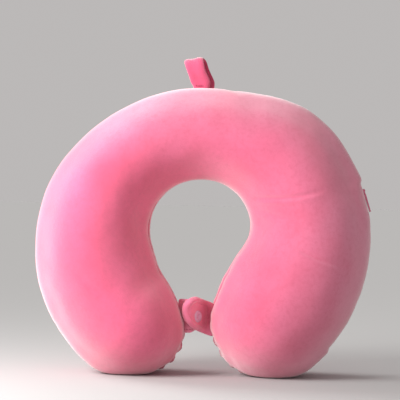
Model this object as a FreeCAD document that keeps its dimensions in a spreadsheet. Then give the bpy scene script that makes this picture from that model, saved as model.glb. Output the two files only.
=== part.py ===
"""A u shaped travel neck pillow, built as the separate pieces it is sewn and moulded from.

Frame: millimetres, Z up, X across the pillow, Y from front to back (the front faces -Y). The pillow stands
on its two lobes; the origin is on the floor, midway between the lobes, in the seam plane y = 0.
Angles called "turn" are measured about the Y axis through the hub, from the crown (0) towards +X.
"""
import FreeCAD, Part
import math
import os

import Sketcher
from FreeCAD import Placement, Rotation, Vector

os.makedirs("parts", exist_ok=True)
doc = FreeCAD.newDocument("NeckPillow")

# ---------------------------------------------------------------- sizes
SIZES = {
    # the fat ring: outline, neck hole and depth, each blended from the crown towards the arms
    "hub_height": 121.0,
    "outer_radius": 150.0,
    "crown_drop": 13.0,
    "crown_blend": 65.0,
    "hole_radius": 42.0,
    "hole_rise": 12.6,
    "hole_blend": 115.0,
    "crown_half_depth": 46.0,
    "arm_growth": 11.0,
    "arm_blend": 110.0,
    "arm_end": 136.0,
    "lobe_length": 57.0,
    # the layers, from the outside in
    "cover_thick": 3.0,
    "liner_thick": 1.0,
    "layer_gap": 0.3,
    "seam_gap": 0.2,
    # zip in the outer seam of the +X arm
    "zip_start": 68.0,
    "zip_sweep": 62.0,
    "channel_half": 5.1,
    "tape_thick": 0.6,
    "tape_gap": 0.1,
    "coil_width": 2.45,
    "coil_height": 1.5,
    "stop_sweep": 1.0,
    "slider_sweep": 4.6,
    "slider_shift": 1.4,
    "slider_half": 4.4,
    "slider_wall": 1.2,
    "slider_plate": 1.0,
    "run_gap": 0.3,
    "bail_half": 2.7,
    "bail_cheek": 1.0,
    "bail_rise": 2.7,
    "bail_length": 2.4,
    "pin_radius": 0.6,
    "pin_rise": 1.9,
    "pull_half": 3.6,
    "pull_eye_half": 1.3,
    "pull_length": 22.0,
    "pull_thick": 1.0,
    "pull_eye_radius": 1.0,
    # hanging loop in the crown seam
    "loop_width": 16.0,
    "loop_height": 27.0,
    "loop_radius": 3.6,
    "loop_thick": 1.2,
    "loop_shoulder": 14.0,
    "loop_foot": 1.6,
    "loop_foot_half": 1.4,
    "loop_join": 3.2,
    "tack_width": 14.0,
    "tack_thick": 0.4,
    # snap closure between the lobes
    "snap_height": 52.0,
    "tab_half": 14.0,
    "tab_reach": 9.9,
    "tab_root": 9.9,
    "ply_thick": 1.2,
    "ply_gap": 0.1,
    "front_tab_face": 5.6,
    "back_tab_lining": 0.3,
    "stitch_inset": 2.2,
    "stitch_width": 0.6,
    "stitch_thick": 0.3,
    "cap_radius": 6.0,
    "cap_thick": 1.4,
    "post_radius": 1.3,
    "ply_hole_radius": 1.5,
    "socket_radius": 5.0,
    "socket_thick": 2.1,
    "socket_bore_radius": 3.0,
    "socket_bore_depth": 1.6,
    "stud_thick": 0.8,
    "stud_pin_radius": 1.9,
    "stud_pin_length": 1.35,
    "part_gap": 0.05,
}

sheet = doc.addObject("Spreadsheet::Sheet", "Sizes")
for row, (name, number) in enumerate(SIZES.items(), start=1):
    sheet.set(f"A{row}", name)
    sheet.set(f"B{row}", str(number))
    sheet.setAlias(f"B{row}", name)
doc.recompute()


def formula(text):
    """Spell a formula over the size names as one over the spreadsheet's cells."""
    for name in sorted(SIZES, key=len, reverse=True):
        text = text.replace(f"<{name}>", f"Sizes.{name}")
    return text


def number(text):
    return float(sheet.evalExpression(formula(text)))


def bind(item, path, text):
    item.setExpression(path, formula(text))


# ---------------------------------------------------------------- building blocks
def origin_feature(body, role):
    return next(f for f in body.Origin.OriginFeatures if f.Role == role)


def box(name, corner, size):
    """A block from its low corner and its size, all six given as formulas."""
    block = doc.addObject("Part::Box", name)
    for path, text in zip(("Length", "Width", "Height"), size):
        bind(block, path, text)
    for axis, text in zip("xyz", corner):
        bind(block, f"Placement.Base.{axis}", text)
    return block


def boolean(kind, name, base, tool):
    item = doc.addObject(f"Part::{kind}", name)
    item.Base, item.Tool = base, tool
    return item


def fuse(name, shapes):
    item = doc.addObject("Part::MultiFuse", name)
    item.Shapes = shapes
    return item


def outline(sketch, points, arcs=None):
    """Close a chain of lines through bound points, counter-clockwise.

    arcs maps a segment's number to the axis and formula that place the centre of its circular arc.
    """
    arcs = arcs or {}
    spots = [Vector(number(x), number(y), 0) for x, y in points]
    segments = []
    for i, spot in enumerate(spots):
        following = spots[(i + 1) % len(spots)]
        if i in arcs:
            centre = (spot + following) / 2
            radius = (following - spot).Length / 2
            begin = math.atan2(spot.y - centre.y, spot.x - centre.x)
            circle = Part.Circle(centre, Vector(0, 0, 1), radius)
            segments.append(sketch.addGeometry(Part.ArcOfCircle(circle, begin, begin + math.pi)))
        else:
            segments.append(sketch.addGeometry(Part.LineSegment(spot, following)))
    for i, segment in enumerate(segments):
        follower = segments[(i + 1) % len(segments)]
        sketch.addConstraint(Sketcher.Constraint("Coincident", segment, 2, follower, 1))
    for i, (segment, point) in enumerate(zip(segments, points)):
        for axis, text in zip("XY", point):
            rule = Sketcher.Constraint(f"Distance{axis}", -1, 1, segment, 1, number(text))
            bind(sketch, f"Constraints[{sketch.addConstraint(rule)}]", text)
        if i in arcs:
            axis, text = arcs[i]
            rule = Sketcher.Constraint(f"Distance{axis}", -1, 1, segment, 3, number(text))
            bind(sketch, f"Constraints[{sketch.addConstraint(rule)}]", text)


def sketched_body(name, plane, outlines):
    """A body with one sketch on one of its origin planes; each outline is (points, arcs)."""
    body = doc.addObject("PartDesign::Body", name)
    sketch = body.newObject("Sketcher::SketchObject", f"{name}_profile")
    sketch.AttachmentSupport = [(origin_feature(body, plane), "")]
    sketch.MapMode = "FlatFace"
    for points, arcs in outlines:
        outline(sketch, points, arcs)
    doc.recompute()
    return body, sketch


def padded(name, plane, outlines, thickness, both_ways=False):
    body, sketch = sketched_body(name, plane, outlines)
    pad = body.newObject("PartDesign::Pad", f"{name}_pad")
    pad.Profile = sketch
    pad.Midplane = both_ways
    bind(pad, "Length", thickness)
    doc.recompute()
    return body


def turned(name, points, sweep="360"):
    """Turn a profile (radius, height along Y) about the body's own Y axis."""
    body, sketch = sketched_body(name, "XY_Plane", [(points, None)])
    turn = body.newObject("PartDesign::Revolution", f"{name}_turn")
    turn.Profile = sketch
    turn.ReferenceAxis = (origin_feature(body, "Y_Axis"), [""])
    bind(turn, "Angle", sweep)
    doc.recompute()
    return body


def rectangle(x_low, x_high, y_low, y_high):
    return [(x_low, y_low), (x_high, y_low), (x_high, y_high), (x_low, y_high)]


def around_rim(name, points, start, sweep):
    """A strip that follows the outer seam: its profile is (distance from the hub, y)."""
    strip = turned(name, points, sweep)
    strip.Placement = Placement(
        Vector(0, 0, number("<hub_height>")), Rotation(Vector(0, 1, 0), number(start) - 90)
    )
    return strip


# ---------------------------------------------------------------- the U shaped layers
ARM_SECTIONS = 13
DOME_STEPS = (15, 30, 45, 60, 72, 82, 88)


def blend(turn, reach):
    """1 at the crown, falling smoothly to 0 at the given turn and beyond."""
    return f"(1 + cos(180 * min({abs(turn):.6f}; {reach}) / {reach})) / 2"


def section(name, turn, dome, inset):
    """One elliptical cross-section of the ring, shrunk all round by the inset.

    dome is 0 along the arms; at the arm ends it climbs towards 90 as the lobe rounds off.
    """
    outer = f"(<outer_radius> - <crown_drop> * {blend(turn, '<crown_blend>')})"
    inner = f"(<hole_radius> + <hole_rise> * {blend(turn, '<hole_blend>')})"
    depth = f"(<crown_half_depth> + <arm_growth> * (1 - {blend(turn, '<arm_blend>')}))"
    middle = f"({outer} + {inner}) / 2"
    beyond = f"{math.copysign(1, turn):.0f} * (<lobe_length> - ({inset})) * sin({dome})"
    ring = doc.addObject("Part::Ellipse", name)
    ring.Placement = Placement(
        Vector(0, 0, 0), Rotation(Vector(0, 1, 0), turn) * Rotation(Vector(1, 1, 1), 120)
    )
    bind(ring, "MajorRadius", f"({depth} - ({inset})) * cos({dome})")
    bind(ring, "MinorRadius", f"(({outer} - {inner}) / 2 - ({inset})) * cos({dome})")
    bind(ring, "Placement.Base.x", f"{middle} * sin({turn:.6f}) + {beyond} * cos({turn:.6f})")
    bind(
        ring,
        "Placement.Base.z",
        f"<hub_height> + {middle} * cos({turn:.6f}) - {beyond} * sin({turn:.6f})",
    )
    return ring


def u_solid(name, inset):
    """The whole U at a given depth below the outside face, lobes rounded, not yet cut at the floor."""
    end = SIZES["arm_end"]
    stations = [(-end, dome) for dome in reversed(DOME_STEPS)]
    stations += [(end * (2 * i / (ARM_SECTIONS - 1) - 1), 0) for i in range(ARM_SECTIONS)]
    stations += [(end, dome) for dome in DOME_STEPS]
    loft = doc.addObject("Part::Loft", name)
    loft.Sections = [
        section(f"{name}_section_{i:02d}", turn, dome, inset) for i, (turn, dome) in enumerate(stations)
    ]
    loft.Solid = True
    loft.Ruled = False
    return loft


def standing(name, solid, floor):
    """Keep what lies above a floor height, so the lobes press flat where the pillow stands."""
    room = box(f"{name}_room", ("-200", "-100", floor), ("400", "200", "400"))
    return boolean("Common", name, solid, room)


COVER_IN = "<cover_thick>"
LINER_OUT = "<cover_thick> + <layer_gap>"
LINER_IN = "<cover_thick> + <layer_gap> + <liner_thick>"
CORE = "<cover_thick> + 2 * <layer_gap> + <liner_thick>"

front_half = box(
    "front_half", ("-200", "-100 - <seam_gap> / 2", "-20"), ("400", "100", "420")
)
back_half = box("back_half", ("-200", "<seam_gap> / 2", "-20"), ("400", "100", "420"))


def shell_halves(stem, outside, inside):
    shell = boolean("Cut", f"{stem}_shell", outside, inside)
    return (
        boolean("Common", f"{stem}_front_panel", shell, front_half),
        boolean("Common", f"{stem}_back_panel", shell, back_half),
    )


cover_outside = standing("cover_outside", u_solid("cover_outside_u", "0"), "0")
cover_inside = standing("cover_inside", u_solid("cover_inside_u", COVER_IN), COVER_IN)
liner_outside = standing("liner_outside", u_solid("liner_outside_u", LINER_OUT), LINER_OUT)
liner_inside = standing("liner_inside", u_solid("liner_inside_u", LINER_IN), LINER_IN)
foam_core = standing("foam_core", u_solid("foam_core_u", CORE), CORE)
cover_front_whole, cover_back_whole = shell_halves("cover", cover_outside, cover_inside)
liner_front, liner_back = shell_halves("liner", liner_outside, liner_inside)

# ---------------------------------------------------------------- zip
TAPE_IN = "<outer_radius> - <cover_thick>"
TAPE_OUT = f"{TAPE_IN} + <tape_thick>"
COIL_IN = f"{TAPE_OUT} + <tape_gap>"
COIL_OUT = f"{COIL_IN} + <coil_height>"
COIL_SIDE = "<seam_gap> / 2 + <coil_width>"
TAPE_SIDE = "<channel_half> - <tape_gap>"

channel = around_rim(
    "zip_channel",
    rectangle(f"{TAPE_IN} - 2", "<outer_radius> + 3", "-<channel_half>", "<channel_half>"),
    "<zip_start>",
    "<zip_sweep>",
)
cover_front = boolean("Cut", "cover_front", cover_front_whole, channel)
cover_back = boolean("Cut", "cover_back", cover_back_whole, channel)

tape_start, tape_sweep = "<zip_start> + 0.1", "<zip_sweep> - 0.2"
coil_start = "<zip_start> + <stop_sweep> + 0.2"
coil_sweep = "<zip_sweep> - 2 * <stop_sweep> - 0.4"
tape_front = around_rim(
    "tape_front",
    rectangle(TAPE_IN, TAPE_OUT, f"-({TAPE_SIDE})", "-<seam_gap> / 2"),
    tape_start,
    tape_sweep,
)
tape_back = around_rim(
    "tape_back", rectangle(TAPE_IN, TAPE_OUT, "<seam_gap> / 2", TAPE_SIDE), tape_start, tape_sweep
)
coil_front = around_rim(
    "coil_front",
    rectangle(COIL_IN, COIL_OUT, f"-({COIL_SIDE})", "-<seam_gap> / 2"),
    coil_start,
    coil_sweep,
)
coil_back = around_rim(
    "coil_back", rectangle(COIL_IN, COIL_OUT, "<seam_gap> / 2", COIL_SIDE), coil_start, coil_sweep
)
stop_profile = rectangle(COIL_IN, COIL_OUT, f"-({COIL_SIDE})", COIL_SIDE)
top_stop = around_rim("top_stop", stop_profile, "<zip_start> + 0.1", "<stop_sweep>")
bottom_stop = around_rim(
    "bottom_stop", stop_profile, "<zip_start> + <zip_sweep> - <stop_sweep> - 0.1", "<stop_sweep>"
)

# the slider is a channel over both coils, with two cheeks and a pin that carry the pull
PLATE_IN = f"{COIL_OUT} + <run_gap>"
PLATE_OUT = f"{PLATE_IN} + <slider_plate>"
SKIRT = f"{TAPE_OUT} + <run_gap>"
WALL = "<slider_half> - <slider_wall>"
slider_shell = around_rim(
    "slider_shell",
    [
        (SKIRT, "-<slider_half>"),
        (PLATE_OUT, "-<slider_half>"),
        (PLATE_OUT, "<slider_half>"),
        (SKIRT, "<slider_half>"),
        (SKIRT, WALL),
        (PLATE_IN, WALL),
        (PLATE_IN, f"-({WALL})"),
        (SKIRT, f"-({WALL})"),
    ],
    "<zip_start> + <slider_shift>",
    "<slider_sweep>",
)


def on_slider(item, along, out, side):
    """Place an item on the slider's middle: local X runs down the zip, local Z points away from the hub."""
    turn = number("<zip_start> + <slider_shift> + <slider_sweep> / 2")
    spin = Rotation(Vector(0, 1, 0), turn)
    local = Vector(number(along), number(side), number(out))
    item.Placement = Placement(Vector(0, 0, number("<hub_height>")) + spin.multVec(local), spin)
    return item


def slider_block(name, size, along, out, side):
    block = doc.addObject("Part::Box", name)
    for path, text in zip(("Length", "Width", "Height"), size):
        bind(block, path, text)
    return on_slider(block, along, out, side)


PIN_OUT = f"{PLATE_OUT} + <pin_rise>"
cheek_size = ("<bail_length>", "<bail_cheek>", "<bail_rise> + 0.3")
cheeks = [
    slider_block(name, cheek_size, "-<bail_length> / 2", f"{PLATE_OUT} - 0.3", side)
    for name, side in (
        ("slider_cheek_front", "-<bail_half>"),
        ("slider_cheek_back", "<bail_half> - <bail_cheek>"),
    )
]
pin = doc.addObject("Part::Cylinder", "slider_pin")
bind(pin, "Radius", "<pin_radius>")
bind(pin, "Height", "2 * <bail_half> - 0.4")
on_slider(pin, "0", PIN_OUT, "<bail_half> - 0.2")
pin.Placement.Rotation = pin.Placement.Rotation * Rotation(Vector(1, 0, 0), 90)
slider = fuse("slider", [slider_shell, *cheeks, pin])

# the pull: a narrow eye round the pin, widening to a flat tab that lies down the zip
pull = padded(
    "pull_tab",
    "XZ_Plane",
    [
        (
            [
                ("0", "-<pull_thick> / 2 - 0.4"),
                ("<pull_length> - 2", "-<pull_thick> / 2"),
                ("<pull_length> - 2", "<pull_thick> / 2"),
                ("0", "<pull_thick> / 2 + 0.4"),
            ],
            None,
        )
    ],
    "2 * <pull_half>",
    both_ways=True,
)
on_slider(pull, "0", PIN_OUT, "0")
eye = doc.addObject("Part::Cylinder", "pull_eye_ring")
bind(eye, "Radius", "<pull_eye_radius> + 0.5")
bind(eye, "Height", "2 * <pull_eye_half>")
bore = doc.addObject("Part::Cylinder", "pull_eye_bore")
bind(bore, "Radius", "<pull_eye_radius>")
bind(bore, "Height", "4 * <pull_half>")
for item, side in ((eye, "<pull_eye_half>"), (bore, "2 * <pull_half>")):
    on_slider(item, "0", PIN_OUT, side)
    item.Placement.Rotation = item.Placement.Rotation * Rotation(Vector(1, 0, 0), 90)
relief_size = ("6", "2 * <pull_half>", "6")
reliefs = [
    slider_block(name, relief_size, "-2.6", f"{PIN_OUT} - 3", side)
    for name, side in (
        ("pull_relief_front", "-<pull_eye_half> - 2 * <pull_half>"),
        ("pull_relief_back", "<pull_eye_half>"),
    )
]
pull_plate = boolean("Cut", "pull_plate", pull, fuse("pull_reliefs", reliefs))
pull_piece = boolean("Cut", "pull_piece", fuse("pull_blank", [pull_plate, eye]), bore)

# ---------------------------------------------------------------- hanging loop
LOOP_CENTRE = "<loop_height> - <loop_radius>"
LOOP_INNER = "<loop_radius> - <loop_thick>"
loop = padded(
    "loop",
    "YZ_Plane",
    [
        (
            [
                ("-<loop_foot_half>", "<loop_foot>"),
                ("<loop_foot_half>", "<loop_foot>"),
                ("<loop_radius>", "<loop_shoulder>"),
                ("<loop_radius>", LOOP_CENTRE),
                ("-<loop_radius>", LOOP_CENTRE),
                ("-<loop_radius>", "<loop_shoulder>"),
            ],
            {3: ("Y", LOOP_CENTRE)},
        ),
        (
            [
                ("0", "<loop_join>"),
                (LOOP_INNER, "<loop_shoulder>"),
                (LOOP_INNER, LOOP_CENTRE),
                (f"-({LOOP_INNER})", LOOP_CENTRE),
                (f"-({LOOP_INNER})", "<loop_shoulder>"),
            ],
            {2: ("Y", LOOP_CENTRE)},
        ),
    ],
    "<loop_width>",
    both_ways=True,
)
crown_top = number("<hub_height> + <outer_radius> - <crown_drop>")
loop.Placement = Placement(Vector(0, 0, crown_top), Rotation())
tack = box(
    "tack",
    (
        "-<tack_width> / 2",
        "-<loop_foot_half> - 0.35 - <tack_thick>",
        "<hub_height> + <outer_radius> - <crown_drop> + <loop_foot>",
    ),
    ("<tack_width>", "<tack_thick>", "<loop_join> - <loop_foot>"),
)

# ---------------------------------------------------------------- snap closure tabs
TAB_CENTRE = "<tab_reach> - <tab_half>"


def tab_outline(inset, root):
    """A tab that is square at its root and half round at its free end, which points to local +X."""
    half = f"<tab_half> - ({inset})"
    return (
        [(root, f"-({half})"), (TAB_CENTRE, f"-({half})"), (TAB_CENTRE, half), (root, half)],
        {1: ("X", TAB_CENTRE)},
    )


def ply_hole():
    """The hole the snap's post goes through, drawn as two half circles."""
    return (
        [("0", "-<ply_hole_radius>"), ("0", "<ply_hole_radius>")],
        {0: ("X", "0"), 1: ("X", "0")},
    )


def set_tab(item, face, points_left):
    """Stand a tab piece at the snap; its face plane is at y = face, its free end to -X or +X."""
    turn = Rotation(Vector(0, 0, 1), 180) if points_left else Rotation()
    item.Placement = Placement(Vector(0, face, number("<snap_height>")), turn)
    return item


def tab_ply(name, middle, points_left):
    ply = padded(
        name, "XZ_Plane", [tab_outline("0", "-<tab_root>"), ply_hole()], "<ply_thick>", both_ways=True
    )
    return set_tab(ply, number(middle), points_left)


def tab_stitching(name, middle, points_left):
    """The line of stitching that follows a tab's edge."""
    inner_half = "<tab_half> - <stitch_inset> - <stitch_width>"
    outer_half = "<tab_half> - <stitch_inset>"
    line = padded(
        name,
        "XZ_Plane",
        [
            (
                [
                    ("-<tab_root> + 1", f"-({outer_half})"),
                    (TAB_CENTRE, f"-({outer_half})"),
                    (TAB_CENTRE, outer_half),
                    ("-<tab_root> + 1", outer_half),
                ],
                {1: ("X", TAB_CENTRE)},
            ),
            (
                [
                    ("-<tab_root> + 1 + <stitch_width>", f"-({inner_half})"),
                    (TAB_CENTRE, f"-({inner_half})"),
                    (TAB_CENTRE, inner_half),
                    ("-<tab_root> + 1 + <stitch_width>", inner_half),
                ],
                {1: ("X", TAB_CENTRE)},
            ),
        ],
        "<stitch_thick>",
        both_ways=True,
    )
    return set_tab(line, number(middle), points_left)


FRONT_LINING = "<front_tab_face> - <ply_thick> - <ply_gap>"
front_face_ply = tab_ply("front_face_ply", "-<front_tab_face> + <ply_thick> / 2", True)
front_lining_ply = tab_ply("front_lining_ply", f"-({FRONT_LINING}) + <ply_thick> / 2", True)
front_stitching = tab_stitching(
    "front_stitching", "-<front_tab_face> - <part_gap> - <stitch_thick> / 2", True
)
BACK_FACE = "<back_tab_lining> + <ply_thick> + <ply_gap>"
back_lining_ply = tab_ply("back_lining_ply", "<back_tab_lining> + <ply_thick> / 2", False)
back_face_ply = tab_ply("back_face_ply", f"{BACK_FACE} + <ply_thick> / 2", False)
back_stitching = tab_stitching(
    "back_stitching", f"{BACK_FACE} + <ply_thick> + <part_gap> + <stitch_thick> / 2", False
)


def snap_piece(name, points):
    piece = turned(name, points)
    piece.Placement = Placement(Vector(0, 0, number("<snap_height>")), Rotation())
    return piece


FRONT_SKIN = "-<front_tab_face> - <part_gap>"
FRONT_INSIDE = f"-({FRONT_LINING}) + <ply_thick> + <part_gap>"
SOCKET_BACK = f"{FRONT_INSIDE} + <socket_thick>"
BACK_INSIDE = "<back_tab_lining> - <part_gap>"
STUD_FRONT = f"{BACK_INSIDE} - <stud_thick>"
BACK_SKIN = f"{BACK_FACE} + <ply_thick> + <part_gap>"


def cap_profile(skin, outward, post_end):
    """A shallow domed cap on the skin of the tab with a post through both plies."""
    rim = f"{skin} + {outward} * 0.5"
    crown = f"{skin} + {outward} * <cap_thick>"
    points = [
        ("0", post_end),
        ("<post_radius>", post_end),
        ("<post_radius>", skin),
        ("<cap_radius>", skin),
        ("<cap_radius>", rim),
        ("<cap_radius> - 1.2", crown),
        ("0", crown),
    ]
    return points if outward > 0 else points[::-1]


socket_cap = snap_piece("socket_cap", cap_profile(FRONT_SKIN, -1, f"{FRONT_INSIDE} - 2 * <part_gap>"))
socket = snap_piece(
    "socket",
    [
        ("0", FRONT_INSIDE),
        ("<socket_radius>", FRONT_INSIDE),
        ("<socket_radius>", SOCKET_BACK),
        ("<socket_bore_radius>", SOCKET_BACK),
        ("<socket_bore_radius>", f"{SOCKET_BACK} - <socket_bore_depth>"),
        ("0", f"{SOCKET_BACK} - <socket_bore_depth>"),
    ],
)
stud = snap_piece(
    "stud",
    [
        ("0", f"{STUD_FRONT} - <stud_pin_length>"),
        ("<stud_pin_radius>", f"{STUD_FRONT} - <stud_pin_length>"),
        ("<stud_pin_radius>", STUD_FRONT),
        ("<socket_radius>", STUD_FRONT),
        ("<socket_radius>", BACK_INSIDE),
        ("0", BACK_INSIDE),
    ],
)
stud_cap = snap_piece("stud_cap", cap_profile(BACK_SKIN, 1, f"{BACK_INSIDE} + 2 * <part_gap>"))

# ---------------------------------------------------------------- names, checks and files
NODES = {
    "foam_core": foam_core,
    "liner_front_panel": liner_front,
    "liner_back_panel": liner_back,
    "cover_front_panel": cover_front,
    "cover_back_panel": cover_back,
    "zip_tape_front": tape_front,
    "zip_tape_back": tape_back,
    "zip_coil_front": coil_front,
    "zip_coil_back": coil_back,
    "zip_top_stop": top_stop,
    "zip_bottom_stop": bottom_stop,
    "zip_slider": slider,
    "zip_pull": pull_piece,
    "hanging_loop_strap": loop,
    "hanging_loop_bar_tack": tack,
    "front_tab_face_ply": front_face_ply,
    "front_tab_lining_ply": front_lining_ply,
    "front_tab_stitching": front_stitching,
    "back_tab_face_ply": back_face_ply,
    "back_tab_lining_ply": back_lining_ply,
    "back_tab_stitching": back_stitching,
    "snap_socket_cap": socket_cap,
    "snap_socket": socket,
    "snap_stud": stud,
    "snap_stud_cap": stud_cap,
}

doc.recompute()
for item in doc.Objects:
    if "Invalid" in item.State or "Error" in item.State:
        raise RuntimeError(f"{item.Name} did not build: {item.State}")
for name, item in NODES.items():
    item.Label = name
    if item.Shape.isNull() or not item.Shape.isValid():
        raise RuntimeError(f"{name} has no valid shape")
    item.Shape.exportStep(f"parts/{name}.step")
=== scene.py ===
"""The looks of a u shaped velour neck pillow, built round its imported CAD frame. Blender 4.5, metres."""

import math

import bmesh
import bpy
import numpy as np
from mathutils import Matrix, Vector, noise


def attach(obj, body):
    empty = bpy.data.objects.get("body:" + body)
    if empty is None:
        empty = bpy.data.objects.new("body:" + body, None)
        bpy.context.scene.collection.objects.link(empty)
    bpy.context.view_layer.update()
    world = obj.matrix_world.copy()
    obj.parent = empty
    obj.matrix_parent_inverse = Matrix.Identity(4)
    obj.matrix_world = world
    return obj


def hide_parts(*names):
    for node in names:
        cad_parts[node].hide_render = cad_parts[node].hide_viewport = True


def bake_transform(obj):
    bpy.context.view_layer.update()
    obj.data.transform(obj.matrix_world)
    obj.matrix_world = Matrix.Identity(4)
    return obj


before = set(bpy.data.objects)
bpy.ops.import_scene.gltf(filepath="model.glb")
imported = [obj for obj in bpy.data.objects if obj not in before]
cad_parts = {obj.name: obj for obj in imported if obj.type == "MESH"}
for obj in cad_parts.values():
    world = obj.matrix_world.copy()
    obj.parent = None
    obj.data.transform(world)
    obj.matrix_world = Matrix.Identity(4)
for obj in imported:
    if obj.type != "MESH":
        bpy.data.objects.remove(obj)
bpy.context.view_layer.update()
MM = 0.001

# ---------------------------------------------------------------- the pillow's form, in millimetres
HUB = 121.0
OUTER, CROWN_DROP, CROWN_BLEND = 150.0, 13.0, 65.0
HOLE, HOLE_RISE, HOLE_BLEND = 42.0, 12.6, 115.0
DEPTH, DEPTH_GROWTH, DEPTH_BLEND = 46.0, 11.0, 110.0
ARM_END, LOBE = 136.0, 57.0
ZIP_START, ZIP_SWEEP, ZIP_HALF = 68.0, 62.0, 5.1
SEAM_GAP = 0.12  # how far each panel's edge stands from the seam plane
# where the soft pillow is fuller or slacker than its mould: height, middle turn and reach of each hump
OUTER_HUMPS = ((-4.5, -43.0, 36.0), (-4.8, -58.0, 62.0), (4.0, 40.0, 27.0), (-2.0, 2.0, 40.0))
INNER_HUMPS = ((4.0, -70.0, 80.0), (8.5, -158.0, 62.0), (-7.5, 118.0, 50.0), (-3.5, 192.0, 44.0))


def fall(turn, reach):
    """1 at the crown, falling smoothly to 0 at the given turn and beyond."""
    return (1 + np.cos(np.pi * np.minimum(np.abs(turn), reach) / reach)) / 2


def hump(turn, middle, reach):
    """1 at the middle turn, falling smoothly to 0 at the reach on either side."""
    return (1 + np.cos(np.pi * np.clip((turn - middle) / reach, -1, 1))) / 2


def half_sizes(turn, inset):
    """Middle radius, half width and half depth of the ring's section at a turn from the crown."""
    outer = OUTER - CROWN_DROP * fall(turn, CROWN_BLEND)
    for height, middle, reach in OUTER_HUMPS:
        outer = outer + height * hump(turn, middle, reach)
    inner = HOLE + HOLE_RISE * fall(turn, HOLE_BLEND)
    depth = DEPTH + DEPTH_GROWTH * (1 - fall(turn, DEPTH_BLEND))
    return (outer + inner) / 2, (outer - inner) / 2 - inset, depth - inset


def inner_shift(turn, dome):
    """How far the inner side stands outside the mould's: more on the left arm, less on the right."""
    place = turn + np.sign(turn) * dome
    shift = 0.0
    for height, middle, reach in INNER_HUMPS:
        shift = shift + height * hump(place, middle, reach)
    return shift


def skin(turn, dome, around, inset=0.0):
    """Points of the smooth form: around is 0 on the outer rim and pi on the inner, by the front."""
    middle, half_width, half_depth = half_sizes(turn, inset)
    swing, lift = np.radians(turn), np.radians(dome)
    radial = middle + half_width * np.cos(around) * np.cos(lift)
    radial = radial + inner_shift(turn, dome) * (0.5 - 0.5 * np.cos(around)) ** 1.5
    along = np.sign(turn) * (LOBE - inset) * np.sin(lift)
    x = radial * np.sin(swing) + along * np.cos(swing)
    y = -half_depth * np.sin(around) * np.cos(lift)
    z = HUB + radial * np.cos(swing) - along * np.sin(swing)
    return np.stack(np.broadcast_arrays(x, y, z), axis=-1)


def stations(step, dome_step):
    """Turns and dome angles of the rings from one lobe's tip round to the other's, tips left out."""
    domes = np.arange(90 - dome_step, 0.5, -dome_step)
    turns = np.linspace(-ARM_END, ARM_END, int(2 * ARM_END / step) + 1)
    turn = np.concatenate([np.full(len(domes), -ARM_END), turns, np.full(len(domes), ARM_END)])
    dome = np.concatenate([domes, np.zeros(len(turns)), domes[::-1]])
    return turn, dome


SETTLE_SOFT, SETTLE_SINK = 2.2, 0.25


def settle(points, floor):
    """Press the form flat, softly, where the lobes stand."""
    z = points[..., 2] - floor
    points[..., 2] = floor + 0.5 * (z + np.sqrt(z * z + SETTLE_SOFT * SETTLE_SOFT)) - SETTLE_SINK
    return points


# ---------------------------------------------------------------- seam, gathers and creases
rng = np.random.default_rng(7)


def gather_places(low, high, spacing, strength):
    """Uneven places along the seam where the stitching pinches the velour."""
    places, at = [], low
    while at < high:
        at += spacing * rng.uniform(0.55, 1.6)
        depth = strength * rng.uniform(0.35, 1.0)
        width, reach = rng.uniform(1.3, 2.6), rng.uniform(5, 13)
        places.append((at, depth, width, reach))
    return places


GATHER_PAST = 70.0  # how far the gathers run on beyond the place where a seam turns in at a lobe


def seam_gathers(end, run_in, lobe_spacing, lobe_depth, arm_spacing, arm_depth):
    """A whole seam's gathers: close and deep round the lobes' ends, sparse and slight between."""
    low, high = end - run_in, end + GATHER_PAST
    return (
        gather_places(-high, -low, lobe_spacing, lobe_depth)
        + gather_places(-low, low, arm_spacing, arm_depth)
        + gather_places(low, high, lobe_spacing, lobe_depth)
    )


GATHERS = {
    side: (
        seam_gathers(400.0, 85.0, 8.0, 1.5, 30.0, 0.35),  # outer seam
        seam_gathers(150.0, 50.0, 9.0, 1.2, 22.0, 0.3),  # inner seam
    )
    for side in (-1, 1)
}


def scallops(along):
    """Uneven waves along the seam, 0 to 1, where the velour is eased round a lobe's end."""
    return (0.5 + 0.5 * np.sin(2 * np.pi * along / 12.5 + 1.6 * np.sin(along / 17.0))) ** 0.6


def seam_relief(along, off, places, lobe):
    """Depth of the seam's valley and of the pinches that run off it; lobe is 1 round a lobe's end."""
    valley = (1.9 * np.exp(-((off / 2.2) ** 2)) + 0.4 * np.exp(-off / 7.0)) * (1 - 0.85 * lobe)
    relief = valley - 2.6 * np.exp(-(((off - 17.0) / 11.0) ** 2)) * (1 - 0.6 * lobe)
    relief = relief + 1.3 * lobe * (1 - scallops(along)) * np.exp(-off / 9.0)
    for at, depth, width, reach in places:
        pinch = depth * np.exp(-(((along - at) / (width + 0.10 * off)) ** 2))
        relief = relief + pinch * np.exp(-off / reach)
    return relief


def soft_noise(points, scale, seed):
    """Smooth noise of the place in space, one value per point."""
    flat = points.reshape(-1, 3) / scale + seed
    values = np.array([noise.noise(Vector(p)) for p in flat])
    return values.reshape(points.shape[:-1])


# long soft folds over the front: their ends (x, z), depth and half width
CREASES = (
    ((44.0, 160.0), (106.0, 168.0), 1.15, 1.8),
    ((76.0, 121.0), (128.0, 101.0), 1.05, 1.7),
    ((48.0, 150.0), (88.0, 141.0), 0.65, 2.4),
    ((-62.0, 178.0), (-44.0, 118.0), 0.55, 7.0),
    ((-112.0, 96.0), (-66.0, 64.0), 0.30, 3.0),
)


# where the peeled front tab lies back into the +X lobe, and the hollow that makes room for its snap
TAB_REST = np.array([14.0, -21.0, 52.0])
TAB_REST_DEPTH, TAB_REST_REACH = 2.0, 9.5


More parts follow.
